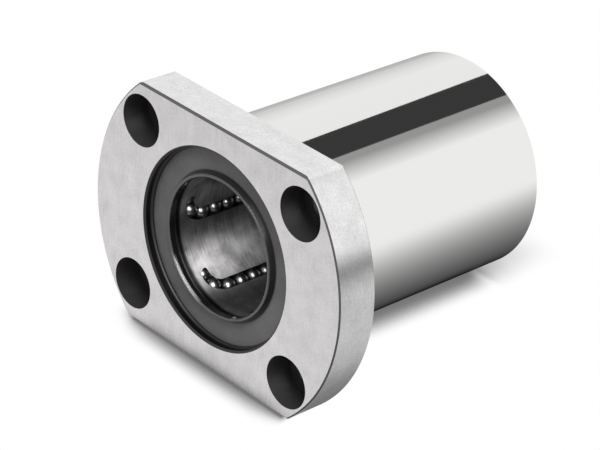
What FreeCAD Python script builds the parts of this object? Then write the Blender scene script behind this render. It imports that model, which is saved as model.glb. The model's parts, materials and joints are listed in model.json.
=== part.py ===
import FreeCAD
import Part
import math
import os

from FreeCAD import Vector

# Flanged linear ball bearing for a 25 mm shaft, in millimetres.
# The origin is on the shaft's axis, in the plane where the flange seats on its housing.
# Y runs along the shaft, from the flange into the body. X runs along the flange's flats. Z is up.

# Shaft, body and flange
SHAFT_DIAMETER = 25.0
BODY_DIAMETER = 40.0
BEARING_LENGTH = 59.0
FLANGE_DIAMETER = 62.0
FLANGE_ACROSS_FLATS = 46.0
FLANGE_THICKNESS = 8.0
FLANGE_RIM_CHAMFER = 0.25
FLANGE_FLAT_CHAMFER = 0.4
FLANGE_CORNER_ROUND = 1.5
BODY_END_CHAMFER = 0.35
UNDERCUT_WIDTH = 1.5
UNDERCUT_DEPTH = 0.3
UNDERCUT_FACE_DEPTH = 0.2

# Bolt holes of the flange, placed from its rim and its flats
BOLT_RIM_DISTANCE = 5.3875
BOLT_FLAT_DISTANCE = 7.0
BOLT_HOLE_DIAMETER = 5.5
COUNTERBORE_DIAMETER = 9.5
COUNTERBORE_DEPTH = 5.4

# Recess at each end, with its seal and retaining ring
SEAT_WALL = 2.062
MOUTH_CHAMFER = 0.35
RING_SETBACK = 1.25
RING_WIRE_DIAMETER = 0.8
RING_GROOVE_DEPTH = 0.4
RING_GROOVE_CLEARANCE = 0.03
RING_OPENING_ANGLE = 16.0
RING_OPENING_PLACE = 40.0
SEAL_THICKNESS = 1.0
SEAL_SEAT_CLEARANCE = 0.02
SEAL_LIP_HEIGHT = 1.1
SEAL_LIP_BASE = 1.0
SEAL_LIP_RIM = 0.5
SEAL_THROAT_LENGTH = 1.3
SEAL_RIM_ROUND = 0.2

# Balls and their tracks
CIRCUITS = 6
FIRST_ROW_ANGLE = 6.5
BALL_DIAMETER = 2.778
BALLS_IN_TURN = 3
TURN_BALL_GAP = 0.04
TRAIN_PHASE = 0.85
RACE_CLEARANCE = 0.04
TRACK_CLEARANCE = 0.06
RELIEF_RADIUS = 5.4
RELIEF_CLEARANCE = 0.2
RELIEF_LEAD_ANGLE = 3.8

# Ball retainer
RETAINER_BORE_CLEARANCE = 0.5
RETAINER_FLOOR = 0.4
RETAINER_RADIAL_CLEARANCE = 0.2
RETAINER_END_CLEARANCE = 0.05
RETAINER_END_WALL = 1.2
RETAINER_EDGE_CHAMFER = 0.3

# Places along the shaft
FRONT_FACE = -FLANGE_THICKNESS
REAR_FACE = BEARING_LENGTH - FLANGE_THICKNESS
MIDDLE = (FRONT_FACE + REAR_FACE) / 2
RING_DEPTH = RING_SETBACK + RING_WIRE_DIAMETER / 2
SEAL_DEPTH = RING_SETBACK + RING_WIRE_DIAMETER
SHOULDER_DEPTH = SEAL_DEPTH + SEAL_THICKNESS
RETAINER_DEPTH = SHOULDER_DEPTH + RETAINER_END_CLEARANCE

# Spacing of the bolt holes: 40 mm along X and 32 mm along Z
BOLT_SPACING_Z = FLANGE_ACROSS_FLATS - 2 * BOLT_FLAT_DISTANCE
BOLT_RADIUS = FLANGE_DIAMETER / 2 - BOLT_RIM_DISTANCE
BOLT_SPACING_X = 2 * math.sqrt(BOLT_RADIUS**2 - (BOLT_SPACING_Z / 2) ** 2)

# Radii of the rows, the race and the tracks
SHAFT_RADIUS = SHAFT_DIAMETER / 2
BALL_RADIUS = BALL_DIAMETER / 2
TRACK_RADIUS = BALL_RADIUS + TRACK_CLEARANCE
RETAINER_BORE_RADIUS = SHAFT_RADIUS + RETAINER_BORE_CLEARANCE
LOADED_RADIUS = SHAFT_RADIUS + BALL_RADIUS
RETURN_RADIUS = RETAINER_BORE_RADIUS + RETAINER_FLOOR + TRACK_RADIUS
RACE_RADIUS = SHAFT_RADIUS + BALL_DIAMETER + RACE_CLEARANCE
RELIEF_REACH = RETURN_RADIUS + BALL_RADIUS + RELIEF_CLEARANCE
SEAT_RADIUS = BODY_DIAMETER / 2 - SEAT_WALL
RING_RADIUS = SEAT_RADIUS + RING_GROOVE_DEPTH - RING_WIRE_DIAMETER / 2

# Spacing of the balls: neighbours in a turn clear each other by the gap, measured straight across
TURN_STEP = math.pi / BALLS_IN_TURN
TURN_RADIUS = (BALL_DIAMETER + TURN_BALL_GAP) / (2 * math.sin(TURN_STEP / 2))
BALL_PITCH = TURN_RADIUS * TURN_STEP
TRACK_END = TURN_RADIUS + TRACK_RADIUS + RETAINER_END_WALL
BALLS_IN_ROW = int((BEARING_LENGTH - 2 * RETAINER_DEPTH - 2 * TRACK_END) / BALL_PITCH)
ROW_LENGTH = BALLS_IN_ROW * BALL_PITCH
FRONT_TURN = MIDDLE - ROW_LENGTH / 2
REAR_TURN = MIDDLE + ROW_LENGTH / 2

# Angle between a loaded row and its return row, whose centres lie one turn diameter apart
LANE_ANGLE = math.degrees(
    math.acos(
        (LOADED_RADIUS**2 + RETURN_RADIUS**2 - (2 * TURN_RADIUS) ** 2)
        / (2 * LOADED_RADIUS * RETURN_RADIUS)
    )
)

CENTRE = Vector(0, 0, 0)
ALONG = Vector(0, 1, 0)
ACROSS = Vector(0, 0, 1)


def around(radius, angle, y=0.0):
    """A point at a radius from the shaft's axis, at an angle from X towards Z."""
    turn = math.radians(angle)
    return Vector(radius * math.cos(turn), y, radius * math.sin(turn))


def lines(profile):
    """Straight edges from each (radius, y) point of a profile to the next."""
    points = [Vector(radius, y, 0) for radius, y in profile]
    return [Part.LineSegment(a, b).toShape() for a, b in zip(points, points[1:])]


def turned(edges):
    """The solid made by turning a closed outline round the shaft's axis."""
    return Part.Face(Part.Wire(edges)).revolve(CENTRE, ALONG, 360)


def turned_polygon(profile):
    """The solid made by turning a polygon of (radius, y) points round the shaft's axis."""
    return turned(lines(profile + profile[:1]))


def rod(radius, start, end, x=0.0, z=0.0):
    """A cylinder along Y."""
    return Part.makeCylinder(radius, end - start, Vector(x, start, z), ALONG)


def swung(shape, angle):
    """A copy swung round the shaft's axis, from X towards Z."""
    copy = shape.copy()
    copy.rotate(CENTRE, -ALONG, angle)
    return copy


def at_rear(shape):
    """The copy for the rear end of a piece made for the front end."""
    copy = shape.copy()
    copy.rotate(Vector(0, MIDDLE, 0), ACROSS, 180)
    return copy


def row_angle(circuit):
    """The angle of a circuit's loaded row."""
    return FIRST_ROW_ANGLE + circuit * 360.0 / CIRCUITS


# Flanged sleeve


def rounded_blank():
    """The flange's plain outline, with a round where each flat meets the rim."""
    radius = FLANGE_DIAMETER / 2
    height = FLANGE_ACROSS_FLATS / 2
    corner = Vector(-radius, FRONT_FACE, -height)
    flats = Part.makeBox(FLANGE_DIAMETER, FLANGE_THICKNESS, FLANGE_ACROSS_FLATS, corner)
    blank = rod(radius, FRONT_FACE, 0).common(flats)
    through = [edge for edge in blank.Edges if edge.BoundBox.YLength > FLANGE_THICKNESS / 2]
    corners = [edge for edge in through if abs(edge.CenterOfMass.z) > height / 2]
    return blank.makeFillet(FLANGE_CORNER_ROUND, corners)


def flange():
    """The turned disc with two flats milled on it, chamfered along its rim and its flats."""
    radius = FLANGE_DIAMETER / 2
    disc = turned_polygon(
        [
            (0, FRONT_FACE),
            (radius - FLANGE_RIM_CHAMFER, FRONT_FACE),
            (radius, FRONT_FACE + FLANGE_RIM_CHAMFER),
            (radius, -FLANGE_RIM_CHAMFER),
            (radius - FLANGE_RIM_CHAMFER, 0),
            (0, 0),
        ]
    )
    height = FLANGE_ACROSS_FLATS / 2
    upper = [
        (FRONT_FACE, height - FLANGE_FLAT_CHAMFER),
        (FRONT_FACE + FLANGE_FLAT_CHAMFER, height),
        (-FLANGE_FLAT_CHAMFER, height),
        (0, height - FLANGE_FLAT_CHAMFER),
    ]
    lower = [(y, -z) for y, z in reversed(upper)]
    outline = [Vector(-radius, y, z) for y, z in upper + lower]
    across_flats = Part.Face(Part.makePolygon(outline + outline[:1]))
    milled = disc.common(across_flats.extrude(Vector(FLANGE_DIAMETER, 0, 0)))
    return milled.common(rounded_blank())


def body():
    """The ground cylinder behind the flange, which reaches half way into the flange."""
    radius = BODY_DIAMETER / 2
    return turned_polygon(
        [
            (0, FRONT_FACE / 2),
            (radius, FRONT_FACE / 2),
            (radius, REAR_FACE - BODY_END_CHAMFER),
            (radius - BODY_END_CHAMFER, REAR_FACE),
            (0, REAR_FACE),
        ]
    )


def undercut():
    """The grinding relief in the corner of the body and the seating face, sunk into both."""
    inner = BODY_DIAMETER / 2 - UNDERCUT_DEPTH
    outer = BODY_DIAMETER / 2 + UNDERCUT_DEPTH
    return turned_polygon(
        [
            (inner, -UNDERCUT_FACE_DEPTH),
            (outer, -UNDERCUT_FACE_DEPTH),
            (outer, UNDERCUT_WIDTH),
            (inner, UNDERCUT_WIDTH),
        ]
    )


def end_recess():
    """The room for the seal at the front end, with a chamfered mouth and a groove for the ring."""
    shoulder = FRONT_FACE + SHOULDER_DEPTH
    ring = FRONT_FACE + RING_DEPTH
    groove_radius = RING_WIRE_DIAMETER / 2 + RING_GROOVE_CLEARANCE
    groove_half = math.sqrt(groove_radius**2 - (SEAT_RADIUS - RING_RADIUS) ** 2)
    mouth = [
        (0, FRONT_FACE),
        (SEAT_RADIUS + MOUTH_CHAMFER, FRONT_FACE),
        (SEAT_RADIUS, FRONT_FACE + MOUTH_CHAMFER),
        (SEAT_RADIUS, ring - groove_half),
    ]
    groove = Part.Arc(
        Vector(SEAT_RADIUS, ring - groove_half, 0),
        Vector(RING_RADIUS + groove_radius, ring, 0),
        Vector(SEAT_RADIUS, ring + groove_half, 0),
    )
    seat = [
        (SEAT_RADIUS, ring + groove_half),
        (SEAT_RADIUS, shoulder),
        (0, shoulder),
        (0, FRONT_FACE),
    ]
    return turned(lines(mouth) + [groove.toShape()] + lines(seat))


def relief(clearance, depth):
    """The groove that clears a return row and its turns, for a loaded row at angle 0."""
    centre = around(RELIEF_REACH - RELIEF_RADIUS, RELIEF_LEAD_ANGLE - LANE_ANGLE)
    start = FRONT_FACE + depth
    end = REAR_FACE - depth
    return rod(RELIEF_RADIUS - clearance, start, end, centre.x, centre.z)


def bolt_hole(x, z):
    """A counterbored hole, sunk from the front face."""
    hole = rod(BOLT_HOLE_DIAMETER / 2, FRONT_FACE, 0, x, z)
    sink = rod(COUNTERBORE_DIAMETER / 2, FRONT_FACE, FRONT_FACE + COUNTERBORE_DEPTH, x, z)
    return hole.fuse(sink)


def flanged_sleeve():
    """The outer sleeve and its flange, in one piece, with the race ground inside."""
    recess = end_recess()
    groove = relief(0, SHOULDER_DEPTH)
    race = rod(RACE_RADIUS, FRONT_FACE, REAR_FACE)
    cuts = [undercut(), race, recess, at_rear(recess)]
    cuts += [swung(groove, row_angle(circuit)) for circuit in range(CIRCUITS)]
    for x in (-BOLT_SPACING_X / 2, BOLT_SPACING_X / 2):
        for z in (-BOLT_SPACING_Z / 2, BOLT_SPACING_Z / 2):
            cuts.append(bolt_hole(x, z))
    return flange().fuse(body()).removeSplitter().cut(cuts)


# Seal and retaining ring


def front_seal():
    """The moulded seal: a flat ring with a raised conical lip that meets the shaft."""
    outer = SEAT_RADIUS - SEAL_SEAT_CLEARANCE
    face = FRONT_FACE + SEAL_DEPTH
    back = face + SEAL_THICKNESS
    rim = face - SEAL_LIP_HEIGHT
    seal = turned_polygon(
        [
            (SHAFT_RADIUS, rim),
            (SHAFT_RADIUS + SEAL_LIP_RIM, rim),
            (SHAFT_RADIUS + SEAL_LIP_BASE, face),
            (outer, face),
            (outer, back),
            (RETAINER_BORE_RADIUS, back),
            (SHAFT_RADIUS, rim + SEAL_THROAT_LENGTH),
        ]
    )
    rims = [edge for edge in seal.Edges if edge.BoundBox.YMax < rim + SEAL_RIM_ROUND / 2]
    return seal.makeFillet(SEAL_RIM_ROUND, rims)


def front_snap_ring():
    """The open ring of round wire, half sunk in its groove in front of the seal."""
    start = RING_OPENING_PLACE + RING_OPENING_ANGLE / 2
    centre = around(RING_RADIUS, start, FRONT_FACE + RING_DEPTH)
    section = Part.makeCircle(RING_WIRE_DIAMETER / 2, centre, around(1, start + 90))
    return Part.Face(Part.Wire(section)).revolve(CENTRE, -ALONG, 360 - RING_OPENING_ANGLE)


# One ball circuit, with its loaded row at angle 0


def row_points():
    """The centres of the loaded row and the return row, across the shaft."""
    return around(LOADED_RADIUS, 0), around(RETURN_RADIUS, -LANE_ANGLE)


def track_axes():
    """The direction from the loaded row to the return row, and the track's outward normal."""
    loaded, back = row_points()
    side = (back - loaded).normalize()
    return side, side.cross(ALONG)


def ball_at(centre):
    """One ball."""
    return Part.makeSphere(BALL_RADIUS, centre)


def straight_places(start, step):
    """The places along Y of a row's balls, which have just left the turn at its start."""
    return [start + step * (count + 1 - TRAIN_PHASE) for count in range(BALLS_IN_ROW)]


def turn_angles():
    """The angles of a turn's balls, from where they enter it."""
    return [TURN_STEP * (count + 1 - TRAIN_PHASE) for count in range(BALLS_IN_TURN)]


def loaded_balls():
    """The row that carries the shaft, rolling towards the rear."""
    loaded, _ = row_points()
    places = straight_places(FRONT_TURN, BALL_PITCH)
    return [ball_at(loaded + ALONG * y) for y in places]


def return_balls():
    """The row that rolls back, clear of the shaft."""
    _, back = row_points()
    places = straight_places(REAR_TURN, -BALL_PITCH)
    return [ball_at(back + ALONG * y) for y in places]


def turn_balls(y, outward, entry):
    """The balls in a turn at y, from its entry lane round to the other lane."""
    loaded, back = row_points()
    centre = (loaded + back) * 0.5 + ALONG * y
    side, _ = track_axes()
    balls = []
    for angle in turn_angles():
        offset = side * (entry * math.cos(angle)) + ALONG * (outward * math.sin(angle))
        balls.append(ball_at(centre + offset * TURN_RADIUS))
    return balls


def track():
    """The closed track of one circuit: a round bottom with straight walls, open outwards."""
    loaded, back = row_points()
    side, out = track_axes()
    middle = (loaded + back) * 0.5

    def section(centre):
        """The track's section at a row's centre."""
        left = centre - side * TRACK_RADIUS
        right = centre + side * TRACK_RADIUS
        top = out * (2 * BALL_DIAMETER)
        bottom = centre - out * TRACK_RADIUS
        outline = [
            Part.Arc(left, bottom, right).toShape(),
            Part.LineSegment(right, right + top).toShape(),
            Part.LineSegment(right + top, left + top).toShape(),
            Part.LineSegment(left + top, left).toShape(),
        ]
        return Part.Face(Part.Wire(outline))

    pieces = []
    for centre in (loaded, back):
        lane = section(centre).extrude(ALONG * ROW_LENGTH)
        lane.translate(ALONG * FRONT_TURN)
        pieces.append(lane)
    for y, sweep in ((FRONT_TURN, 180), (REAR_TURN, -180)):
        bend = section(loaded).revolve(middle, out, sweep)
        bend.translate(ALONG * y)
        pieces.append(bend)
    return pieces[0].fuse(pieces[1:]).removeSplitter()


def ball_retainer():
    """The cage: a sleeve with a lobe in each relief groove, and a track cut for each circuit."""
    start = FRONT_FACE + RETAINER_DEPTH
    end = REAR_FACE - RETAINER_DEPTH
    lobe = relief(RETAINER_RADIAL_CLEARANCE, RETAINER_DEPTH)
    loop = track()
    angles = [row_angle(circuit) for circuit in range(CIRCUITS)]
    lobes = [swung(lobe, angle) for angle in angles]
    tracks = [swung(loop, angle) for angle in angles]
    blank = rod(RACE_RADIUS - RETAINER_RADIAL_CLEARANCE, start, end)
    blank = blank.fuse(lobes).removeSplitter()
    edge = RETAINER_BORE_RADIUS + RETAINER_EDGE_CHAMFER
    bore = turned_polygon(
        [
            (0, start),
            (edge, start),
            (RETAINER_BORE_RADIUS, start + RETAINER_EDGE_CHAMFER),
            (RETAINER_BORE_RADIUS, end - RETAINER_EDGE_CHAMFER),
            (edge, end),
            (0, end),
        ]
    )
    return blank.cut([bore] + tracks)


def group(balls, angle):
    """The balls of one node, swung to their circuit's place."""
    return swung(Part.makeCompound(balls), angle)


def nodes():
    """Every node of the bearing, by name."""
    seal = front_seal()
    ring = front_snap_ring()
    made = {
        "flanged_sleeve": flanged_sleeve(),
        "ball_retainer": ball_retainer(),
        "front_seal": seal,
        "rear_seal": at_rear(seal),
        "front_snap_ring": ring,
        "rear_snap_ring": at_rear(ring),
    }
    for circuit in range(CIRCUITS):
        angle = row_angle(circuit)
        number = circuit + 1
        made[f"loaded_balls_{number}"] = group(loaded_balls(), angle)
        made[f"return_balls_{number}"] = group(return_balls(), angle)
        made[f"front_turn_balls_{number}"] = group(turn_balls(FRONT_TURN, -1, 1), angle)
        made[f"rear_turn_balls_{number}"] = group(turn_balls(REAR_TURN, 1, -1), angle)
    return made


def main():
    """Writes one STEP file for each node."""
    os.makedirs("parts", exist_ok=True)
    for name, shape in nodes().items():
        shape.exportStep(f"parts/{name}.step")


if __name__ == "__main__":
    main()
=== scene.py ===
# %% [markdown]
# # A flanged linear bearing
# A linear bearing guides a round shaft. Six trains of steel balls run round closed tracks in a cage, and
# the cage sits in a hardened steel sleeve with a flange to bolt it down. Every solid here comes from the
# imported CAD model, at its real size, and this script adds no piece of its own. It gives each solid the
# finish that its making left on it, and sets up a small product studio: a paper floor, a tent, a dark
# strip, a lamp, a card and a camera.

# %% Load the solids
import json
import math

import bmesh
import bpy
from mathutils import Matrix, Vector


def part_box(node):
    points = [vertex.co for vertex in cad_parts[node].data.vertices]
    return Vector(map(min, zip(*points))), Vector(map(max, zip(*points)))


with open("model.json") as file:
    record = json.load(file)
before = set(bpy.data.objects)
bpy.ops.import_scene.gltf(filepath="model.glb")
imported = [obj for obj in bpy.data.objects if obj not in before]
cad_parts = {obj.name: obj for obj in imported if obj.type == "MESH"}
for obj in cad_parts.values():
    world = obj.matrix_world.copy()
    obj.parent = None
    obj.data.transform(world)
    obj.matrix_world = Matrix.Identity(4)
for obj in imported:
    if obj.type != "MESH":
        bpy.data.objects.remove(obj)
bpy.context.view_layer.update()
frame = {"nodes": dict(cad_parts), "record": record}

MM = 0.001

# %% [markdown]
# ## Sizes from the frame
# The finishes change from one machined face to the next, so they need to know where those faces are. The
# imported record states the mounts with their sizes, and the boxes of the nodes give the rest. Reading them
# keeps the finishes in step with the solids, which numbers copied by hand would not. Blender works in
# metres, and machined parts are thought of in millimetres, so every size in this script is in millimetres.

# %% Sizes in millimetres
mounts = {mount["name"]: mount for mount in frame["record"]["mounts"]}
spigot = mounts["housing_spigot"]
bolts = mounts["flange_bolts"]
sleeve_low, sleeve_high = (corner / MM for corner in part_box("flanged_sleeve"))
front_face, rear_face = sleeve_low.y, sleeve_high.y
flange_radius = sleeve_high.x
flat_height = sleeve_high.z
body_radius = spigot["dims"]["r_mm"]
body_rear = spigot["pos_m"][1] / MM + spigot["dims"]["length_mm"] / 2
shaft_radius = mounts["shaft_bore"]["dims"]["r_mm"]
bolt_x = bolts["dims"]["spacing_x_mm"] / 2
bolt_z = bolts["dims"]["spacing_y_mm"] / 2
middle = (rear_face + front_face) / 2
half_length = (rear_face - front_face) / 2
print("flange from", round(front_face, 2), "mm; body ends at", round(rear_face, 2), "mm")

# %% [markdown]
# ## Camera
# A long lens keeps a small part free of bulging perspective. The view here was found by fitting a camera
# to the flange's corners, its holes and the body's edges. It could be set by eye, but a fitted view lets
# every other difference be seen for what it is. The camera looks at a point inside the body, and leans a
# little to one side.

# %% Camera
VIEW_AZIMUTH = 44.96
VIEW_ELEVATION = 28.79
VIEW_ROLL = 4.93
VIEW_DISTANCE = 445.92
VIEW_TARGET = Vector((0.0, 12.19, -1.60))
LENS = 154.4
SENSOR_WIDTH = 36.0
CLIP_NEAR = 10.0
CLIP_FAR = 20000.0


def camera_axes(azimuth, elevation, roll):
    """The camera's right, up and backward directions, for angles in degrees."""
    around, above, lean = (math.radians(angle) for angle in (azimuth, elevation, roll))
    level_back = Vector((math.sin(around), -math.cos(around), 0.0))
    back = level_back * math.cos(above) + Vector((0.0, 0.0, math.sin(above)))
    level = Vector((math.cos(around), math.sin(around), 0.0))
    upright = back.cross(level)
    right = level * math.cos(lean) + upright * math.sin(lean)
    return right, back.cross(right), back


camera_data = bpy.data.cameras.new("product_camera")
camera_data.lens = LENS
camera_data.sensor_width = SENSOR_WIDTH
camera_data.clip_start = CLIP_NEAR * MM
camera_data.clip_end = CLIP_FAR * MM
camera = bpy.data.objects.new("product_camera", camera_data)
bpy.context.scene.collection.objects.link(camera)
right, up, back = camera_axes(VIEW_AZIMUTH, VIEW_ELEVATION, VIEW_ROLL)
camera.matrix_world = Matrix((right, up, back)).transposed().to_4x4()
camera.location = (VIEW_TARGET + back * VIEW_DISTANCE) * MM
bpy.context.scene.camera = camera
bpy.context.scene.view_settings.view_transform = "Standard"
print("camera at", [round(x / MM) for x in camera.location], "mm")

# %% [markdown]
# ## Two small helpers
# Colours are written as the sRGB hex values that a paint program shows, and Blender's sockets want linear
# light, so one function turns the first into the second, by the curve of the sRGB standard. The other adds
# a node to a material with its settings and its links in one line, which keeps a node tree readable from
# top to bottom. A socket can be named or counted. The Mix node has several kinds, so there the count says
# which: 0 is its share, 2 and 3 are numbers, 4 and 5 are directions, and 6 and 7 are colours.

# %% Helpers for colours and nodes


def linear(hex_colour):
    """An sRGB hex colour as linear red, green, blue and alpha."""
    shares = [int(hex_colour[i : i + 2], 16) / 255 for i in (1, 3, 5)]
    return [s / 12.92 if s <= 0.04045 else ((s + 0.055) / 1.055) ** 2.4 for s in shares] + [1.0]


def add(tree, kind, *values, sockets=None, **settings):
    """Add a node. Values fill its inputs in order, sockets fills them by name, settings are its own."""
    node = tree.nodes.new("ShaderNode" + kind)
    for name, value in settings.items():
        setattr(node, name, value)
    for key, value in list(enumerate(values)) + list((sockets or {}).items()):
        if isinstance(value, bpy.types.Node):
            value = value.outputs[0]
        if isinstance(value, bpy.types.NodeSocket):
            tree.links.new(value, node.inputs[key])
        elif value is not None:
            node.inputs[key].default_value = value
    return node


WHITE = linear("#FFFFFF")
print("white is", [round(c, 2) for c in WHITE[:3]], "and middle grey", round(linear("#808080")[0], 2))

# %% [markdown]
# ## Where the floor lies
# The bearing lies on white paper. It touches the paper with the flange's lower flat and with the rear rim
# of its body, so the floor tilts by about three degrees in the bearing's own frame. The bearing could be
# turned instead, but its solids stay where the CAD model has them. Four more helpers make a flat sheet of
# the studio, an empty material and coordinates in millimetres, and give the floor's height.

# %% The floor's tilt
FLOOR_HALF_WIDTH = 3000.0
FLANGE_FLAT_CHAMFER = 0.4


def stage_plane(name, corners, material):
    """A flat sheet of the studio, made from its four corners in millimetres."""
    sheet = bmesh.new()
    sheet.faces.new([sheet.verts.new(Vector(corner) * MM) for corner in corners])
    mesh = bpy.data.meshes.new(name)
    sheet.to_mesh(mesh)
    sheet.free()
    mesh.materials.append(material)
    plane = bpy.data.objects.new(name, mesh)
    bpy.context.scene.collection.objects.link(plane)
    return plane


def new_material(name):
    """An empty node material with its tree and its output node."""
    material = bpy.data.materials.new(name)
    material.use_nodes = True
    material.node_tree.nodes.clear()
    return material, material.node_tree, add(material.node_tree, "OutputMaterial")


def place_in_mm(tree):
    """Object coordinates in millimetres."""
    metres = add(tree, "TexCoord").outputs["Object"]
    return add(tree, "VectorMath", metres, sockets={"Scale": 1 / MM}, operation="SCALE")


floor_slope = (flat_height - body_radius) / (body_rear + FLANGE_FLAT_CHAMFER)


def floor_height(y):
    """The height of the floor at a place along the shaft."""
    return -flat_height + floor_slope * (y + FLANGE_FLAT_CHAMFER)


print("floor tilts", round(math.degrees(math.atan(floor_slope)), 2), "degrees")

# %% [markdown]
# ## Shadow close to the bearing
# Under an even light, a lit floor gets a wide and weak shadow. This paper glows white instead, and darkens
# only where the bearing stands within a few millimetres of it, which ambient occlusion measures. The
# search leans outwards at the two sides, which keeps the shadow narrow, and a little inwards at the two
# ends, which keeps it deep there. Right of the flange's lower corner the light reaches the paper, so no
# shadow lies there.

# %% Close shadow
SHADOW_REACH = 6.0
SHADOW_SAMPLES = 16
SHADOW_DEEPEST = 0.18
SHADOW_FULL = 0.3
SHADOW_GONE = 0.87
SIDE_REACH = 30.0
SIDE_LEAN = 0.7
FRONT_LEAN = 0.25
REAR_LEAN = -0.1
UPWARD = 0.75
CORNER_LIGHT_X = 18.5
CORNER_LIGHT_Y = 3.0
CORNER_LIGHT_FADE = 2.5

# To the eye: plain white sheet without gloss, on which only the bearing's shadow shows
paper, tree, output = new_material("white_paper_matt")
axes = add(tree, "SeparateXYZ", place_in_mm(tree))
side_light = add(tree, "MapRange", axes.outputs["X"], -SIDE_REACH, SIDE_REACH, -SIDE_LEAN, SIDE_LEAN)
end_light = add(tree, "MapRange", axes.outputs["Y"], front_face, body_rear, FRONT_LEAN, REAR_LEAN)
light_way = add(tree, "CombineXYZ", side_light, end_light, UPWARD)
search_way = add(tree, "VectorMath", light_way, operation="NORMALIZE")
search = {"Distance": SHADOW_REACH * MM, "Normal": search_way}
nearby = add(tree, "AmbientOcclusion", sockets=search, samples=SHADOW_SAMPLES).outputs["AO"]
shaded = add(tree, "MapRange", nearby, SHADOW_FULL, SHADOW_GONE, SHADOW_DEEPEST, 1.0,
             interpolation_type="SMOOTHSTEP")
beside = add(tree, "MapRange", axes.outputs["X"], CORNER_LIGHT_X, CORNER_LIGHT_X + CORNER_LIGHT_FADE,
             interpolation_type="SMOOTHSTEP")
before = add(tree, "MapRange", axes.outputs["Y"], CORNER_LIGHT_Y, CORNER_LIGHT_Y - CORNER_LIGHT_FADE,
             interpolation_type="SMOOTHSTEP")
corner_light = add(tree, "Math", beside, before, operation="MULTIPLY")
close_shadow = add(tree, "Math", shaded, corner_light, operation="MAXIMUM")
print("close shadow reaches", SHADOW_REACH, "mm")

# %% [markdown]
# ## Shade past the rear end
# Behind the body, its round end keeps some light off the paper, a soft shade that is gone after two
# centimetres. A longer search for the close shadow could make it, but would spread the shadow everywhere.
# Three ramps along the shaft and one across it give this shade its own shape.

# %% Rear shade
END_SHADE_EDGE = 1.0
END_SHADE_INNER = 7.0
END_SHADE_OUTER = 16.0
END_SHADE_DEEP = 0.65
END_SHADE_FAINT = 0.36
END_SHADE_DROP = 7.0
END_SHADE_FADE = 5.0
END_SHADE_GONE = 20.0

past_end = add(tree, "MapRange", axes.outputs["Y"], body_rear - END_SHADE_EDGE, body_rear + END_SHADE_EDGE,
               interpolation_type="SMOOTHSTEP")
depth = add(tree, "MapRange", axes.outputs["Y"], body_rear, body_rear + END_SHADE_DROP, END_SHADE_DEEP,
            END_SHADE_FAINT)
fading = add(tree, "MapRange", axes.outputs["Y"], body_rear + END_SHADE_FADE, body_rear + END_SHADE_GONE,
             1.0, 0.0, interpolation_type="SMOOTHSTEP")
off_axis = add(tree, "Math", axes.outputs["X"], operation="ABSOLUTE")
near_axis = add(tree, "MapRange", off_axis, END_SHADE_INNER, END_SHADE_OUTER, 1.0, 0.0,
                interpolation_type="SMOOTHSTEP")
end_depth = add(tree, "Math", past_end, depth, operation="MULTIPLY")
end_place = add(tree, "Math", fading, near_axis, operation="MULTIPLY")
end_shade = add(tree, "Math", end_depth, end_place, operation="MULTIPLY")
end_tone = add(tree, "Math", 1.0, end_shade, operation="SUBTRACT")
seen = add(tree, "Math", close_shadow, end_tone, operation="MULTIPLY")
print("rear shade ends", round(body_rear + END_SHADE_GONE, 1), "mm along the shaft")

# %% [markdown]
# ## What the steel mirrors in the paper
# The body's lower half mirrors the paper under it, where the bearing keeps the light off, and its side
# mirrors paper farther out. So mirror rays get tones of their own: a wide pool of shade under the body, a
# left half that is grey near the bearing and paler far out, and a table past the paper's front edge. Cards
# laid on the floor could do it, but here every edge can be soft.

# %% Mirrored pool, left half and front edge
POOL_WIDTH = 48.0
POOL_DARKEST = 0.0
POOL_START = 3.0
POOL_FADE = 8.0
LEFT_FLOOR = "#BABABA"
LEFT_FLOOR_NEAR = -100.0
LEFT_FLOOR_FAR = -400.0
LEFT_FOOT = "#DADADA"
PAPER_EDGE_NEAR = 45.0
PAPER_EDGE_FAR = 95.0
TABLE_TONE = 0.85

across = add(tree, "Math", axes.outputs["X"], POOL_WIDTH, operation="DIVIDE")
across_squared = add(tree, "Math", across, across, operation="MULTIPLY")
falling = add(tree, "Math", across_squared, -1.0, operation="MULTIPLY")
pool = add(tree, "Math", falling, operation="EXPONENT")
pool_front = front_face - POOL_START
behind_front = add(tree, "MapRange", axes.outputs["Y"], pool_front, pool_front + POOL_FADE,
                   interpolation_type="SMOOTHSTEP")
pool_shade = add(tree, "Math", pool, behind_front, operation="MULTIPLY")
pool_tone = add(tree, "MapRange", pool_shade, 0.0, 1.0, 1.0, POOL_DARKEST)
left = add(tree, "MapRange", axes.outputs["X"], 0.0, -POOL_WIDTH, interpolation_type="SMOOTHSTEP")
left_shade = add(tree, "Math", left, behind_front, operation="MULTIPLY")
left_grey = add(tree, "MapRange", axes.outputs["X"], LEFT_FLOOR_NEAR, LEFT_FLOOR_FAR,
                linear(LEFT_FLOOR)[0], linear(LEFT_FOOT)[0])
left_tone = add(tree, "MapRange", left_shade, 0.0, 1.0, 1.0, left_grey)
table_tone = add(tree, "MapRange", axes.outputs["Y"], front_face - PAPER_EDGE_NEAR,
                 front_face - PAPER_EDGE_FAR, 1.0, TABLE_TONE, interpolation_type="SMOOTHSTEP")
sides = add(tree, "Math", pool_tone, left_tone, operation="MULTIPLY")
lit = add(tree, "Math", sides, table_tone, operation="MULTIPLY")
print("mirrored pool is", 2 * POOL_WIDTH, "mm wide")

# %% [markdown]
# ## The darker paper at the right front
# Steel that faces right and forwards mirrors the paper at the right front, which lies under the dim front
# end of the tent and so is darker. Its edge runs slantwise away from the flange. A second, grey sheet
# could lie there, but the camera would see it too.

# %% Mirrored right front
RIGHT_EDGE_SLOPE = 0.68
RIGHT_EDGE_START = -2.0
RIGHT_EDGE_WIDTH = 12.0
RIGHT_START = 26.0
RIGHT_FULL = 44.0
RIGHT_TONE = 0.64
RIGHT_FRONT_TONE = 0.08

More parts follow.
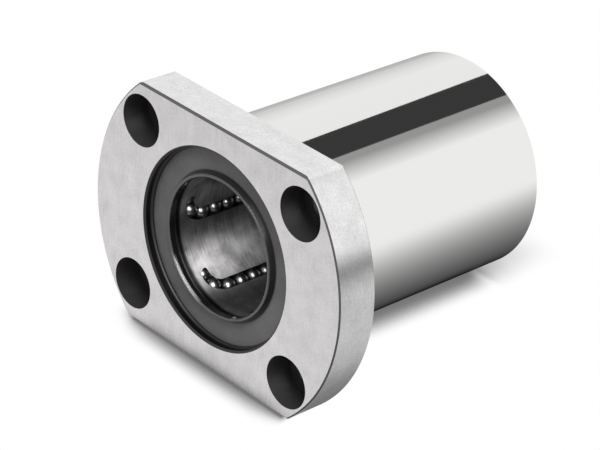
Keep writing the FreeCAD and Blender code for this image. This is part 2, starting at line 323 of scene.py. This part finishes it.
right_edge = add(tree, "Math", axes.outputs["X"], RIGHT_EDGE_SLOPE, operation="MULTIPLY")
past_edge = add(tree, "Math", right_edge, axes.outputs["Y"], operation="SUBTRACT")
over_edge = add(tree, "MapRange", past_edge, RIGHT_EDGE_START, RIGHT_EDGE_START + RIGHT_EDGE_WIDTH,
                interpolation_type="SMOOTHSTEP")
to_right = add(tree, "MapRange", axes.outputs["X"], RIGHT_START, RIGHT_FULL,
               interpolation_type="SMOOTHSTEP")
right_front = add(tree, "Math", over_edge, to_right, operation="MULTIPLY")
right_tone = add(tree, "MapRange", behind_front, 0.0, 1.0, RIGHT_FRONT_TONE, RIGHT_TONE)
mirrored = add(tree, "Mix", sockets={0: right_front, 2: lit, 3: right_tone})
print("right front starts", RIGHT_START, "mm from the axis")

# %% [markdown]
# ## Paper that glows
# The Light Path node says which ray asks for the floor's light. The camera sees white paper with its
# shadow. Mirror rays see the tones above, with the same shadow. All other rays see dim paper, so that the
# bearing's underside isn't lit as if the floor were a lamp. Plain lit paper would show all three the same.

# %% White paper
PAPER_LIGHT = 0.35

rays = add(tree, "LightPath")
shadowed = add(tree, "Math", mirrored, seen, operation="MULTIPLY")
unseen = add(tree, "Mix", sockets={0: rays.outputs["Is Glossy Ray"], 2: PAPER_LIGHT, 3: shadowed})
strength = add(tree, "Mix", sockets={0: rays.outputs["Is Camera Ray"], 2: unseen, 3: seen})
glow = add(tree, "Emission", WHITE, strength)
tree.links.new(glow.outputs[0], output.inputs["Surface"])
paper.cycles.emission_sampling = "NONE"

reach = FLOOR_HALF_WIDTH
corners = [(-reach, -reach), (reach, -reach), (reach, reach), (-reach, reach)]
stage_plane("studio_floor", [(x, y, floor_height(y)) for x, y in corners], paper)
print("paper has", len(tree.nodes), "nodes, floor is", 2 * reach, "mm wide")

# %% [markdown]
# ## Tent
# Small shiny parts are photographed in a tent of white cloth, which lights them evenly and gives the metal
# something pale to mirror. The world is that tent, a tunnel along the shaft, and its tone depends on the
# angle round the shaft: white at the right, grey at the top, and white again at the left, greying towards
# the foot. Its front end is dim, and less so straight ahead. Sheets of cloth could be built, but the world
# needs no mesh. Everything that isn't a mirror sees plain white cloth.

# %% Tent
HALF_TURN = 180.0
TENT_TONES = [
    (0.0, "#FFFFFF"),
    (51.0, "#FFFFFF"),
    (62.0, "#DADADA"),
    (74.0, "#A0A0A0"),
    (95.0, "#A0A0A0"),
    (100.0, "#FBFBFB"),
    (150.0, "#FBFBFB"),
    (165.0, "#EEEEEE"),
    (HALF_TURN, LEFT_FOOT),
]
CLOTH_LIGHT = 0.8
FRONT_START = -0.25
FRONT_FULL = -0.4
CAMERA_START = -0.64
CAMERA_FULL = -0.76
FRONT_SIDE_TONE = 0.15
FRONT_MIDDLE_TONE = 0.6

world = bpy.data.worlds.new("white_tent")
world.use_nodes = True
tree = world.node_tree
tree.nodes.clear()
direction = add(tree, "SeparateXYZ", add(tree, "TexCoord").outputs["Generated"])
angle = add(tree, "Math", direction.outputs["Z"], direction.outputs["X"], operation="ARCTAN2")
turn = add(tree, "MapRange", angle, 0.0, math.pi)
tones = add(tree, "ValToRGB", turn)
stops = tones.color_ramp.elements
while len(stops) < len(TENT_TONES):
    stops.new(1.0)
for stop, (degrees, grey) in zip(stops, TENT_TONES):
    stop.position = degrees / HALF_TURN
    stop.color = linear(grey)
front = add(tree, "MapRange", direction.outputs["Y"], FRONT_START, FRONT_FULL,
            interpolation_type="SMOOTHSTEP")
to_camera = add(tree, "MapRange", direction.outputs["Y"], CAMERA_START, CAMERA_FULL,
                interpolation_type="SMOOTHSTEP")
front_tone = add(tree, "MapRange", to_camera, 0.0, 1.0, FRONT_SIDE_TONE, FRONT_MIDDLE_TONE)
front_colour = add(tree, "CombineColor", front_tone, front_tone, front_tone)
walls = add(tree, "Mix", sockets={0: front, 6: tones, 7: front_colour}, data_type="RGBA")
rays = add(tree, "LightPath")
cloth = add(tree, "Mix", sockets={0: rays.outputs["Is Camera Ray"], 2: CLOTH_LIGHT, 3: 1.0})
plain = add(tree, "CombineColor", cloth, cloth, cloth)
mirror_ray = rays.outputs["Is Glossy Ray"]
shown = add(tree, "Mix", sockets={0: mirror_ray, 6: plain, 7: walls.outputs[2]}, data_type="RGBA")
tent = add(tree, "Background", shown.outputs[2])
tree.links.new(tent.outputs[0], add(tree, "OutputWorld").inputs["Surface"])
bpy.context.scene.world = world
print("tent has", len(stops), "tones")

# %% [markdown]
# ## Dark strip
# A strip of black card over the tent draws the crisp dark band along the polished body. It could be two
# more tones of the tent, but the tent is endlessly far away, so its bands lie level with the shaft. A sheet
# at a real distance draws its edges slantwise. Only mirror rays see it, so it takes no light away.

# %% Dark strip
STRIP_HEIGHT = 300.0
STRIP_CORNERS = [(17.0, -200.0), (98.0, -200.0), (16.0, 700.0), (-212.0, 700.0)]
STRIP_COLOUR = "#3B3B3B"
MIRROR_ONLY = ("visible_camera", "visible_diffuse", "visible_shadow", "visible_transmission")

# To the eye: an even dark grey, in the mirror of the body alone
black_card, tree, output = new_material("black_card_matt")
tree.links.new(add(tree, "Emission", linear(STRIP_COLOUR)).outputs[0], output.inputs["Surface"])
strip = stage_plane("dark_strip", [(x, y, STRIP_HEIGHT) for x, y in STRIP_CORNERS], black_card)
for ray in MIRROR_ONLY:
    setattr(strip, ray, False)
print("strip hangs", STRIP_HEIGHT, "mm over the shaft")

# %% [markdown]
# ## Soft lamp
# A tent alone lights a matt face from everywhere, which looks flat. One large lamp at the upper right gives
# the rubber and the dark holes a lit side. The steel would show it as a white square, so mirror rays don't
# see it.

# %% Soft lamp
LAMP_PLACE = Vector((450.0, -450.0, 1100.0))
LAMP_SIDE = 500.0
LAMP_WATTS = 16.0

lamp_data = bpy.data.lights.new("soft_lamp", "AREA")
lamp_data.size = LAMP_SIDE * MM
lamp_data.energy = LAMP_WATTS
lamp = bpy.data.objects.new("soft_lamp", lamp_data)
lamp.location = LAMP_PLACE * MM
lamp.rotation_euler = (-LAMP_PLACE).to_track_quat("-Z", "Y").to_euler()
lamp.visible_glossy = False
bpy.context.scene.collection.objects.link(lamp)
print("lamp is", round(LAMP_PLACE.length), "mm away")

# %% [markdown]
# ## Mirror card
# The cage's bore looks out through its open end, into the dim front of the tent. A bright card at the right
# front gives the turned steel its bright patch. The card could be part of the world, but rays find a small
# bright patch there only by chance, which makes grain. An area light is searched for, so the bore comes
# out smooth. Diffuse rays don't see it, so the rubber stays dark. Light linking leaves out the sleeve,
# which would mirror the card as a hard white patch. The card's power is its tone times its area and pi.

# %% Mirror card
CARD_ANGLE = math.radians(54.0)
CARD_FORWARD = math.radians(30.0)
CARD_DISTANCE = 400.0
CARD_WIDTH = 340.0
CARD_DEPTH = 190.0
CARD_TONE = 30.0

upright_way = Vector((math.cos(CARD_ANGLE), 0.0, math.sin(CARD_ANGLE)))
card_way = upright_way * math.cos(CARD_FORWARD) - Vector((0.0, math.sin(CARD_FORWARD), 0.0))
card_side = Vector((-math.sin(CARD_ANGLE), 0.0, math.cos(CARD_ANGLE)))
card_data = bpy.data.lights.new("mirror_card", "AREA")
card_data.shape = "RECTANGLE"
card_data.size = CARD_WIDTH * MM
card_data.size_y = CARD_DEPTH * MM
card_data.energy = CARD_TONE * math.pi * card_data.size * card_data.size_y
card = bpy.data.objects.new("mirror_card", card_data)
card.matrix_world = Matrix((card_side, card_way.cross(card_side), card_way)).transposed().to_4x4()
card.location = card_way * CARD_DISTANCE * MM
card.visible_camera = False
card.visible_diffuse = False
unlit = bpy.data.collections.new("unlit_by_card")
unlit.objects.link(frame["nodes"]["flanged_sleeve"])
unlit.collection_objects[0].light_linking.link_state = "EXCLUDE"
card.light_linking.receiver_collection = unlit
bpy.context.scene.collection.objects.link(card)
print("card has", round(card_data.energy, 2), "watts")

# %% [markdown]
# ## Sleeve: where each finish lies
# The sleeve was turned, hardened and then ground. Grinding reaches the flange's face, flats and rim, which
# come out as bright satin, and the body is polished until it mirrors. The bolt holes and the recess are
# coloured near black as painted shade, and the chamfers as a painted dark reflection. Tumbling has dulled
# the rounds between the flats and the rim. Each finish could be a solid of its own, but the sleeve is one
# piece of steel, so one material asks where a point lies and picks the finish.

# %% Places on the sleeve
COUNTERBORE_RADIUS = 4.75
RECESS_REACH = 18.28
CORNER_START = 20.21
CORNER_END = 22.6
SEAT_END = 1.0
FACE_MARGIN = 0.02
HOLE_MARGIN = 0.002
ROUND_MARGIN = 0.1
CHAMFER_LEAN = math.sqrt(0.5)
CHAMFER_MARGIN = 0.2
ACROSS_SHAFT = (1.0, 0.0, 1.0)

# To the eye: a mirror on the body, pale satin on the flange, near black in the holes and on the chamfers
bearing_steel, tree, output = new_material("bearing_steel_hardened_and_ground")
point = place_in_mm(tree)
axes = add(tree, "SeparateXYZ", point)
section = add(tree, "VectorMath", point, ACROSS_SHAFT, operation="MULTIPLY")
radius = add(tree, "VectorMath", section, operation="LENGTH").outputs["Value"]
quarter = add(tree, "VectorMath", section, operation="ABSOLUTE")
bolt_place = (bolt_x, 0.0, bolt_z)
from_bolt = add(tree, "VectorMath", quarter, bolt_place, operation="DISTANCE").outputs["Value"]

# Inside the bolt holes, and in the recess, which are painted dark as shade
in_hole = add(tree, "Math", from_bolt, COUNTERBORE_RADIUS + HOLE_MARGIN, operation="LESS_THAN")
in_flange = add(tree, "Math", axes.outputs["Y"], -FACE_MARGIN, operation="LESS_THAN")
hole = add(tree, "Math", in_hole, in_flange, operation="MULTIPLY")
recess = add(tree, "Math", radius, RECESS_REACH, operation="LESS_THAN")
inside = add(tree, "Math", hole, recess, operation="MAXIMUM")

# The chamfers are the only faces that lean both along the shaft and away from it. They get a painted dark
# reflection.
lean = add(tree, "SeparateXYZ", add(tree, "TexCoord").outputs["Normal"])
lean_along = add(tree, "Math", lean.outputs["Y"], operation="ABSOLUTE")
chamfer = add(tree, "Math", lean_along, CHAMFER_LEAN, CHAMFER_MARGIN, operation="COMPARE")
dark = add(tree, "Math", inside, chamfer, operation="MAXIMUM")

# The ground front face, the polished cylinder, and the rounds at the ends of the flats
on_face = add(tree, "Math", axes.outputs["Y"], front_face + FACE_MARGIN, operation="LESS_THAN")
on_body = add(tree, "Math", radius, body_radius, ROUND_MARGIN, operation="COMPARE")
behind_seat = add(tree, "Math", axes.outputs["Y"], SEAT_END, operation="GREATER_THAN")
polished = add(tree, "Math", on_body, behind_seat, operation="MULTIPLY")
place = add(tree, "SeparateXYZ", quarter)
beside_flat = add(tree, "Math", place.outputs["X"], CORNER_START, operation="GREATER_THAN")
above_rim = add(tree, "Math", place.outputs["Z"], CORNER_END, operation="GREATER_THAN")
corner = add(tree, "Math", beside_flat, above_rim, operation="MULTIPLY")
dulled = add(tree, "Math", corner, chamfer, operation="MAXIMUM")
print("bolt holes at", bolt_x, "and", bolt_z, "mm from the axis")

# %% [markdown]
# ## Sleeve: grinding lines and a painted dark reflection
# The wheel left fine lines up and down the face, over a finer grit, and slow clouds where it pressed less.
# Noise that is stretched along the strokes draws the lines. A dark reflection is painted across the rim's
# right side. A painted image could hold it, but a bell curve round one height needs no image.

# %% Grain of the ground steel
# Real grinding lines and grit are too fine to show here, so both are drawn coarser
GRIND_LINE = 0.25
GRIND_STROKE = 6.0
GRIT = 0.35
CLOUD_PATCH = 2.857
GRIT_SHARE = 0.5
CLOUD_SHARE = 0.35
# Nearly all values of a noise texture lie between these two
NOISE = (0.3, 0.7)
GROUND_TONES = (0.78, 1.2)
# A dark reflection painted across the rim's right side, as a band round one height
REFLECTION_BAND_HEIGHT = 9.2
REFLECTION_BAND_WIDTH = 2.7
REFLECTION_BAND_DEPTH = 0.57

stroke_scale = (1 / GRIND_LINE, 1 / GRIND_LINE, 1 / GRIND_STROKE)
strokes = add(tree, "VectorMath", point, stroke_scale, operation="MULTIPLY")
lines = add(tree, "TexNoise", strokes, sockets={"Scale": 1.0, "Detail": 3.0, "Roughness": 0.6})
grit = add(tree, "TexNoise", point, sockets={"Scale": 1 / GRIT, "Detail": 2.0})
clouds = add(tree, "TexNoise", point, sockets={"Scale": 1 / CLOUD_PATCH, "Detail": 4.0})
fine = add(tree, "Mix", sockets={0: GRIT_SHARE, 2: lines, 3: grit})
grain = add(tree, "Mix", sockets={0: CLOUD_SHARE, 2: fine, 3: clouds})
clean_tone = add(tree, "MapRange", grain, *NOISE, *GROUND_TONES)

# Painted reflection: the rim's right side is darker in a band round one height
off_band = add(tree, "Math", axes.outputs["Z"], REFLECTION_BAND_HEIGHT, operation="SUBTRACT")
widths_off = add(tree, "Math", off_band, REFLECTION_BAND_WIDTH, operation="DIVIDE")
off_squared = add(tree, "Math", widths_off, widths_off, operation="MULTIPLY")
off_negative = add(tree, "Math", off_squared, -1.0, operation="MULTIPLY")
reflection_band = add(tree, "Math", off_negative, operation="EXPONENT")
on_rim = add(tree, "Math", radius, flange_radius - ROUND_MARGIN, operation="GREATER_THAN")
at_right = add(tree, "Math", axes.outputs["X"], 0.0, operation="GREATER_THAN")
right_rim = add(tree, "Math", on_rim, at_right, operation="MULTIPLY")
painted_reflection = add(tree, "Math", reflection_band, right_rim, operation="MULTIPLY")
reflection_tone = add(tree, "Math", painted_reflection, -REFLECTION_BAND_DEPTH, 1.0, operation="MULTIPLY_ADD")
tone = add(tree, "Math", clean_tone, reflection_tone, operation="MULTIPLY")
print("grinding lines are", GRIND_LINE, "mm wide and", GRIND_STROKE, "mm long")

# %% [markdown]
# ## Sleeve: colour
# Steel has hardly any colour of its own, so these are all greys. The polished body gives back nearly all
# the light and the ground faces a little less. The holes and the recess get near black as painted shade,
# and the chamfers a dark grey as a painted reflection. A Mix node for each finish lays it over the last,
# with the places as its share, which reads like masking and painting a real part.

# %% Colours of the sleeve
POLISHED = linear("#EBEBEA")
GROUND_FACE = linear("#D1CFD0")
GROUND_EDGE = linear("#E8E7E7")
TUMBLED_CORNER = linear("#BDBCBC")
# Painted shade in the holes and the recess, and a painted dark reflection on the chamfers
HOLE_PAINTED_SHADE = linear("#4A494A")
RECESS_PAINTED_SHADE = linear("#313031")
CHAMFER_DARK_REFLECTION = linear("#4F4E4F")

hole_and_chamfer_dark = add(tree, "Mix", sockets={0: hole, 6: CHAMFER_DARK_REFLECTION, 7: HOLE_PAINTED_SHADE}, data_type="RGBA")
painted_shade_colour = add(tree, "Mix", sockets={0: recess, 6: hole_and_chamfer_dark.outputs[2], 7: RECESS_PAINTED_SHADE}, data_type="RGBA")
edge = add(tree, "Mix", sockets={0: corner, 6: GROUND_EDGE, 7: TUMBLED_CORNER}, data_type="RGBA")
ground = add(tree, "Mix", sockets={0: on_face, 6: edge.outputs[2], 7: GROUND_FACE}, data_type="RGBA")
toned = add(tree, "VectorMath", ground.outputs[2], sockets={"Scale": tone}, operation="SCALE")
bright = add(tree, "Mix", sockets={0: polished, 6: toned, 7: POLISHED}, data_type="RGBA")
colour = add(tree, "Mix", sockets={0: dark, 6: bright.outputs[2], 7: painted_shade_colour.outputs[2]}, data_type="RGBA")
print("polished steel gives back", round(POLISHED[0], 2), "and the holes", round(HOLE_PAINTED_SHADE[0], 3))

# %% [markdown]
# ## Sleeve: gloss
# Roughness says how far a finish blurs its mirror image: hardly on the body, more on the rim, most on the
# tumbled rounds and the chamfers. Those and the holes count less as metal.
# The wheel's lines blur a reflection across them and not along them, which is what anisotropy does. A
# polished cylinder is truer than any mesh of it, so the body's normal points straight out from the axis.

# %% Gloss of the sleeve
FACE_ROUGHNESS = (0.24, 0.36)
EDGE_ROUGHNESS = (0.16, 0.26)
DARK_ROUGHNESS = (0.25, 0.55)
POLISH_ROUGHNESS = 0.06
DULL_ROUGHNESS = 0.8
DULL_METAL_LOSS = 0.95
HOLE_METAL_LOSS = 0.4
GRIND_SPREAD = 0.7
GRIND_WAY = (0.05, 1.0, 0.0)
GRIND_DEPTH = 0.006

face_roughness = add(tree, "MapRange", grain, *NOISE, *FACE_ROUGHNESS)
edge_roughness = add(tree, "MapRange", grain, *NOISE, *EDGE_ROUGHNESS)
ground_roughness = add(tree, "Mix", sockets={0: on_face, 2: edge_roughness, 3: face_roughness})
bright_roughness = add(tree, "Mix", sockets={0: polished, 2: ground_roughness, 3: POLISH_ROUGHNESS})
dark_roughness = add(tree, "MapRange", grain, *NOISE, *DARK_ROUGHNESS)
zoned_roughness = add(tree, "Mix", sockets={0: dark, 2: bright_roughness, 3: dark_roughness})
roughness = add(tree, "Mix", sockets={0: dulled, 2: zoned_roughness, 3: DULL_ROUGHNESS})
edge_metal = add(tree, "Math", dulled, -DULL_METAL_LOSS, 1.0, operation="MULTIPLY_ADD")
metal = add(tree, "Math", hole, -HOLE_METAL_LOSS, edge_metal, operation="MULTIPLY_ADD")
grind_way = add(tree, "CombineXYZ", *GRIND_WAY)
satin = add(tree, "Math", 1.0, polished, operation="SUBTRACT")
outward = add(tree, "VectorMath", section, operation="NORMALIZE")
mesh_normal = add(tree, "NewGeometry").outputs["Normal"]
true_normal = add(tree, "Mix", sockets={0: polished, 4: mesh_normal, 5: outward}, data_type="VECTOR")
scratches = {
    "Height": fine,
    "Strength": satin,
    "Distance": GRIND_DEPTH * MM,
    "Normal": true_normal.outputs[1],
}
relief = add(tree, "Bump", sockets=scratches)
surface = {
    "Base Color": colour.outputs[2],
    "Metallic": metal,
    "Roughness": roughness,
    "Anisotropic": GRIND_SPREAD,
    "Tangent": grind_way,
    "Normal": relief,
}
shader = add(tree, "BsdfPrincipled", sockets=surface)
tree.links.new(shader.outputs[0], output.inputs["Surface"])
print("sleeve finish has", len(tree.nodes), "nodes")

# %% [markdown]
# ## Cage
# The cage that guides the balls is turned from steel, and the tool leaves fine rings round its bore. Such
# rings spread a reflection along the shaft and not round it, so the bore picks up light from the open end.
# The shader's anisotropy does that spreading. The rings themselves are drawn by noise that is stretched
# round the axis. An angle as its coordinate would leave a seam, and the direction from the axis has none.
# The cage is darker towards its two ends, next to the seals.

# %% Turned cage steel
# Real turning rings are too fine to show here, so they are drawn coarser
RING_WIDTH = 0.16
RING_LENGTH = 9.0
STAIN_PATCH = 3.333
STAIN_SHARE = 0.6
WEAR = (0.32, 0.68)
WEAR_TONES = (0.3, 1.7)
WEAR_ROUGHNESS = (0.56, 0.46)
END_DARK_TONE = 0.06
END_DARK_START = 0.3
END_DARK_CLEAR = 1.1
RING_SPREAD = 0.9
RING_RELIEF = 0.6
RING_DEPTH = 0.008
OFF_AXIS = (0.02, 0.02, 0.02)
ALONG_SHAFT = (0.0, 1.0, 0.0)
TURNED_STEEL = linear("#777676")

cage_low, cage_high = (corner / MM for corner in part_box("ball_retainer"))
cage_half = (cage_high.y - cage_low.y) / 2

# To the eye: a silky grey bore with a bright streak along it, cloudy and black at its ends
cage_steel, tree, output = new_material("cage_steel_turned")
point = place_in_mm(tree)
axes = add(tree, "SeparateXYZ", point)
section = add(tree, "VectorMath", point, ACROSS_SHAFT, operation="MULTIPLY")
outward = add(tree, "VectorMath", section, operation="NORMALIZE")
ring_scale = {"Scale": shaft_radius / RING_LENGTH}
round_axis = add(tree, "VectorMath", outward, sockets=ring_scale, operation="SCALE")
along = add(tree, "VectorMath", point, (0.0, 1 / RING_WIDTH, 0.0), operation="MULTIPLY")
ring_place = add(tree, "VectorMath", round_axis, along, operation="ADD")
rings = add(tree, "TexNoise", ring_place, sockets={"Scale": 1.0, "Detail": 3.0, "Roughness": 0.65})
stain_sizes = {"Scale": 1 / STAIN_PATCH, "Detail": 4.0, "Distortion": 0.3}
stains = add(tree, "TexNoise", point, sockets=stain_sizes)
wear = add(tree, "Mix", sockets={0: STAIN_SHARE, 2: rings, 3: stains})
tone = add(tree, "MapRange", wear, *WEAR, *WEAR_TONES)
# Darker towards the cage's two ends
from_middle = add(tree, "Math", axes.outputs["Y"], middle, operation="SUBTRACT")
along_half = add(tree, "Math", from_middle, operation="ABSOLUTE")
not_darkened = add(tree, "MapRange", along_half, cage_half - END_DARK_START, cage_half - END_DARK_CLEAR,
            END_DARK_TONE, 1.0, interpolation_type="SMOOTHSTEP")
worn = add(tree, "Math", tone, not_darkened, operation="MULTIPLY")
colour = add(tree, "VectorMath", TURNED_STEEL[:3], sockets={"Scale": worn}, operation="SCALE")
roughness = add(tree, "MapRange", wear, *NOISE, *WEAR_ROUGHNESS)
axis_way = add(tree, "VectorMath", outward, OFF_AXIS, ALONG_SHAFT, operation="MULTIPLY_ADD")
grooves = {"Height": rings, "Strength": RING_RELIEF, "Distance": RING_DEPTH * MM}
relief = add(tree, "Bump", sockets=grooves)
surface = {
    "Base Color": colour,
    "Metallic": 1.0,
    "Roughness": roughness,
    "Anisotropic": RING_SPREAD,
    "Tangent": axis_way,
    "Normal": relief,
}
shader = add(tree, "BsdfPrincipled", sockets=surface)
tree.links.new(shader.outputs[0], output.inputs["Surface"])
print("cage is", round(2 * cage_half, 2), "mm long, for a shaft of", 2 * shaft_radius, "mm")

# %% [markdown]
# ## Seals
# The two seals are moulded from nitrile rubber: matt, nearly black, and a little dusty. The lip is darker
# and shinier than the face. Shade is painted at the lip's foot and in its throat, and a highlight on its
# rim.
# A fine moulded grain breaks up the highlight. One flat grey would do for a distant view, but slow patches
# of dust keep the rubber from looking like plastic.

# %% Moulded nitrile rubber
# Real mould grain is too fine to show here, so it is drawn coarser
MOULD_GRAIN = 0.2
DUST_PATCH = 5.0
DUST_SHARE = 0.5
DUST_TONES = (0.65, 1.35)
LIP_ROUND = 0.17
LIP_WALL = 0.45
LIP_FOOT = 1.0
# Painted shade: a dark ring at the lip's foot
FOOT_SHADE_WIDTH = 0.35
FOOT_SHADE_TONE = 0.25
DUSTY_RUBBER = linear("#575657")
LIP_RUBBER = linear("#242425")
# A painted highlight on the lip's rim, and painted shade in its throat
RIM_HIGHLIGHT_RUBBER = linear("#484748")
THROAT_SHADE_RUBBER = linear("#141415")

seal_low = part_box("front_seal")[0] / MM
lip_depth = seal_low.y - front_face + LIP_ROUND

# To the eye: a soft dark grey that hardly shines, with a glossy black throat
seal_rubber, tree, output = new_material("nitrile_rubber_moulded")
point = place_in_mm(tree)
axes = add(tree, "SeparateXYZ", point)
section = add(tree, "VectorMath", point, ACROSS_SHAFT, operation="MULTIPLY")
radius = add(tree, "VectorMath", section, operation="LENGTH").outputs["Value"]
on_lip = add(tree, "Math", radius, shaft_radius + LIP_FOOT, operation="LESS_THAN")
in_throat = add(tree, "Math", radius, shaft_radius + LIP_WALL, operation="LESS_THAN")
between_rims = add(tree, "Math", axes.outputs["Y"], middle, half_length - lip_depth, operation="COMPARE")
# Painted shade: the lip's throat is near black
throat_shade = add(tree, "Math", in_throat, between_rims, operation="MULTIPLY")
on_edge = add(tree, "Math", 1.0, between_rims, operation="SUBTRACT")
# Painted shade in the corner at the lip's foot
from_foot = add(tree, "Math", radius, shaft_radius + LIP_FOOT, operation="SUBTRACT")
foot_gap = add(tree, "Math", from_foot, operation="ABSOLUTE")
not_darkened = add(tree, "MapRange", foot_gap, 0.0, FOOT_SHADE_WIDTH, FOOT_SHADE_TONE, 1.0, interpolation_type="SMOOTHSTEP")
grain = add(tree, "TexNoise", point, sockets={"Scale": 1 / MOULD_GRAIN, "Detail": 2.0})
dust = add(tree, "TexNoise", point, sockets={"Scale": 1 / DUST_PATCH, "Detail": 4.0})
dusty = add(tree, "Mix", sockets={0: DUST_SHARE, 2: grain, 3: dust})
tone = add(tree, "MapRange", dusty, *NOISE, *DUST_TONES)
foot_shaded = add(tree, "Math", tone, not_darkened, operation="MULTIPLY")
face = add(tree, "VectorMath", DUSTY_RUBBER[:3], sockets={"Scale": foot_shaded}, operation="SCALE")
lipped = add(tree, "Mix", sockets={0: on_lip, 6: face, 7: LIP_RUBBER}, data_type="RGBA")
throat_shaded = add(tree, "Mix", sockets={0: throat_shade, 6: lipped.outputs[2], 7: THROAT_SHADE_RUBBER}, data_type="RGBA")
# Painted highlight: the lip's rim is paler
rim_highlight = add(tree, "Mix", sockets={0: on_edge, 6: throat_shaded.outputs[2], 7: RIM_HIGHLIGHT_RUBBER}, data_type="RGBA")
print("seal lip starts", round(lip_depth, 2), "mm below the face")

# %% [markdown]
# ## Painted highlight on the lip
# A pale colour at one side of the lip's edge, towards the lower left, is a painted highlight where the rim
# would catch the light. It is a colour in the rubber's material.

# %% Painted highlight and gloss of the rubber
PAINTED_HIGHLIGHT_GREY = linear("#9C9B9C")
HIGHLIGHT_ANGLE = math.radians(232.0)
HIGHLIGHT_START = 11.4
HIGHLIGHT_FULL = 12.6
HIGHLIGHT_DEPTH = 0.28
DRY_ROUGHNESS = (0.5, 0.65)
LIP_ROUGHNESS = 0.14
MOULD_RELIEF = 0.5
MOULD_DEPTH = 0.01

# Painted highlight at one side of the lip's edge
highlight_way = (math.cos(HIGHLIGHT_ANGLE), 0.0, math.sin(HIGHLIGHT_ANGLE))
towards = add(tree, "VectorMath", section, highlight_way, operation="DOT_PRODUCT").outputs["Value"]
highlight_side = add(tree, "MapRange", towards, HIGHLIGHT_START, HIGHLIGHT_FULL, interpolation_type="SMOOTHSTEP")
below_highlight = add(tree, "Math", axes.outputs["Y"], middle, half_length - lip_depth - HIGHLIGHT_DEPTH,
                  operation="COMPARE")
near_tip = add(tree, "Math", on_lip, below_highlight, operation="SUBTRACT")
painted_highlight = add(tree, "Math", highlight_side, near_tip, operation="MULTIPLY", use_clamp=True)
colour = add(tree, "Mix", sockets={0: painted_highlight, 6: rim_highlight.outputs[2], 7: PAINTED_HIGHLIGHT_GREY}, data_type="RGBA")
dry = add(tree, "MapRange", dusty, *NOISE, *DRY_ROUGHNESS)
roughness = add(tree, "Mix", sockets={0: on_lip, 2: dry, 3: LIP_ROUGHNESS})
pores = {"Height": grain, "Strength": MOULD_RELIEF, "Distance": MOULD_DEPTH * MM}
relief = add(tree, "Bump", sockets=pores)
surface = {"Base Color": colour.outputs[2], "Roughness": roughness, "Normal": relief}
shader = add(tree, "BsdfPrincipled", sockets=surface)
tree.links.new(shader.outputs[0], output.inputs["Surface"])
print("seal finish has", len(tree.nodes), "nodes")

# %% [markdown]
# ## Retaining rings
# Each seal is held by a ring of round spring wire, blackened and oiled. The colour is close to black, and
# only a soft line of light along the wire shows that it is round. Drawing marks run along the wire. A plain
# black would hide them, so the same noise, stretched round the axis, puts them into colour and gloss.

# %% Blackened spring wire
# Real drawing marks are too fine to show here, so they are drawn coarser
DRAW_MARK = 0.1
DRAW_LENGTH = 4.0
DRAW_TONES = (0.7, 1.3)
WIRE_ROUGHNESS = (0.48, 0.62)
WIRE_METAL = 0.6
BLACKENED = linear("#1D1D1F")

# To the eye: black wire with one dull line of light along it
ring_wire, tree, output = new_material("spring_wire_blackened")
point = place_in_mm(tree)
section = add(tree, "VectorMath", point, ACROSS_SHAFT, operation="MULTIPLY")
outward = add(tree, "VectorMath", section, operation="NORMALIZE")
draw_scale = {"Scale": shaft_radius / DRAW_LENGTH}
round_axis = add(tree, "VectorMath", outward, sockets=draw_scale, operation="SCALE")
along = add(tree, "VectorMath", point, (0.0, 1 / DRAW_MARK, 0.0), operation="MULTIPLY")
mark_place = add(tree, "VectorMath", round_axis, along, operation="ADD")
marks = add(tree, "TexNoise", mark_place, sockets={"Scale": 1.0, "Detail": 2.0})
tone = add(tree, "MapRange", marks, *NOISE, *DRAW_TONES)
colour = add(tree, "VectorMath", BLACKENED[:3], sockets={"Scale": tone}, operation="SCALE")
roughness = add(tree, "MapRange", marks, *NOISE, *WIRE_ROUGHNESS)
surface = {"Base Color": colour, "Metallic": WIRE_METAL, "Roughness": roughness}
shader = add(tree, "BsdfPrincipled", sockets=surface)
tree.links.new(shader.outputs[0], output.inputs["Surface"])
print("wire marks are", DRAW_MARK, "mm wide")

# %% [markdown]
# ## Balls
# Bearing balls are lapped chromium steel, the smoothest surface here when it is clean. These are oiled, and
# old oil dulls and darkens them in patches, so each shows soft points of light. A bare mirror would
# glitter too much. A slow noise puts the film into the colour and the roughness.

# %% Lapped ball steel
OIL_PATCH = 1.5
OIL_TONES = (1.05, 0.9)
BALL_ROUGHNESS = (0.24, 0.36)
LAPPED = linear("#6E6E6E")

# To the eye: dark shining beads with soft highlights
ball_steel, tree, output = new_material("ball_steel_lapped")
point = place_in_mm(tree)
film = add(tree, "TexNoise", point, sockets={"Scale": 1 / OIL_PATCH, "Detail": 3.0})
tone = add(tree, "MapRange", film, *NOISE, *OIL_TONES)
colour = add(tree, "VectorMath", LAPPED[:3], sockets={"Scale": tone}, operation="SCALE")
roughness = add(tree, "MapRange", film, *NOISE, *BALL_ROUGHNESS)
surface = {"Base Color": colour, "Metallic": 1.0, "Roughness": roughness}
shader = add(tree, "BsdfPrincipled", sockets=surface)
tree.links.new(shader.outputs[0], output.inputs["Surface"])
print("ball finish has", len(tree.nodes), "nodes")

# %% [markdown]
# ## Each piece gets its finish
# A node of the frame is one piece, or one row of balls that moves together. Each has a slot for one
# material. The six pieces that aren't balls are listed by name, and every other node is a row of balls.
# The slots could be filled by hand, but a list keeps the whole part in view.

# %% Give each node its finish
FINISHES = {
    "flanged_sleeve": bearing_steel,
    "ball_retainer": cage_steel,
    "front_seal": seal_rubber,
    "rear_seal": seal_rubber,
    "front_snap_ring": ring_wire,
    "rear_snap_ring": ring_wire,
}
for name, node in frame["nodes"].items():
    node.material_slots[0].material = FINISHES.get(name, ball_steel)
print(len(FINISHES), "named pieces and", len(frame["nodes"]) - len(FINISHES), "rows of balls have a finish")
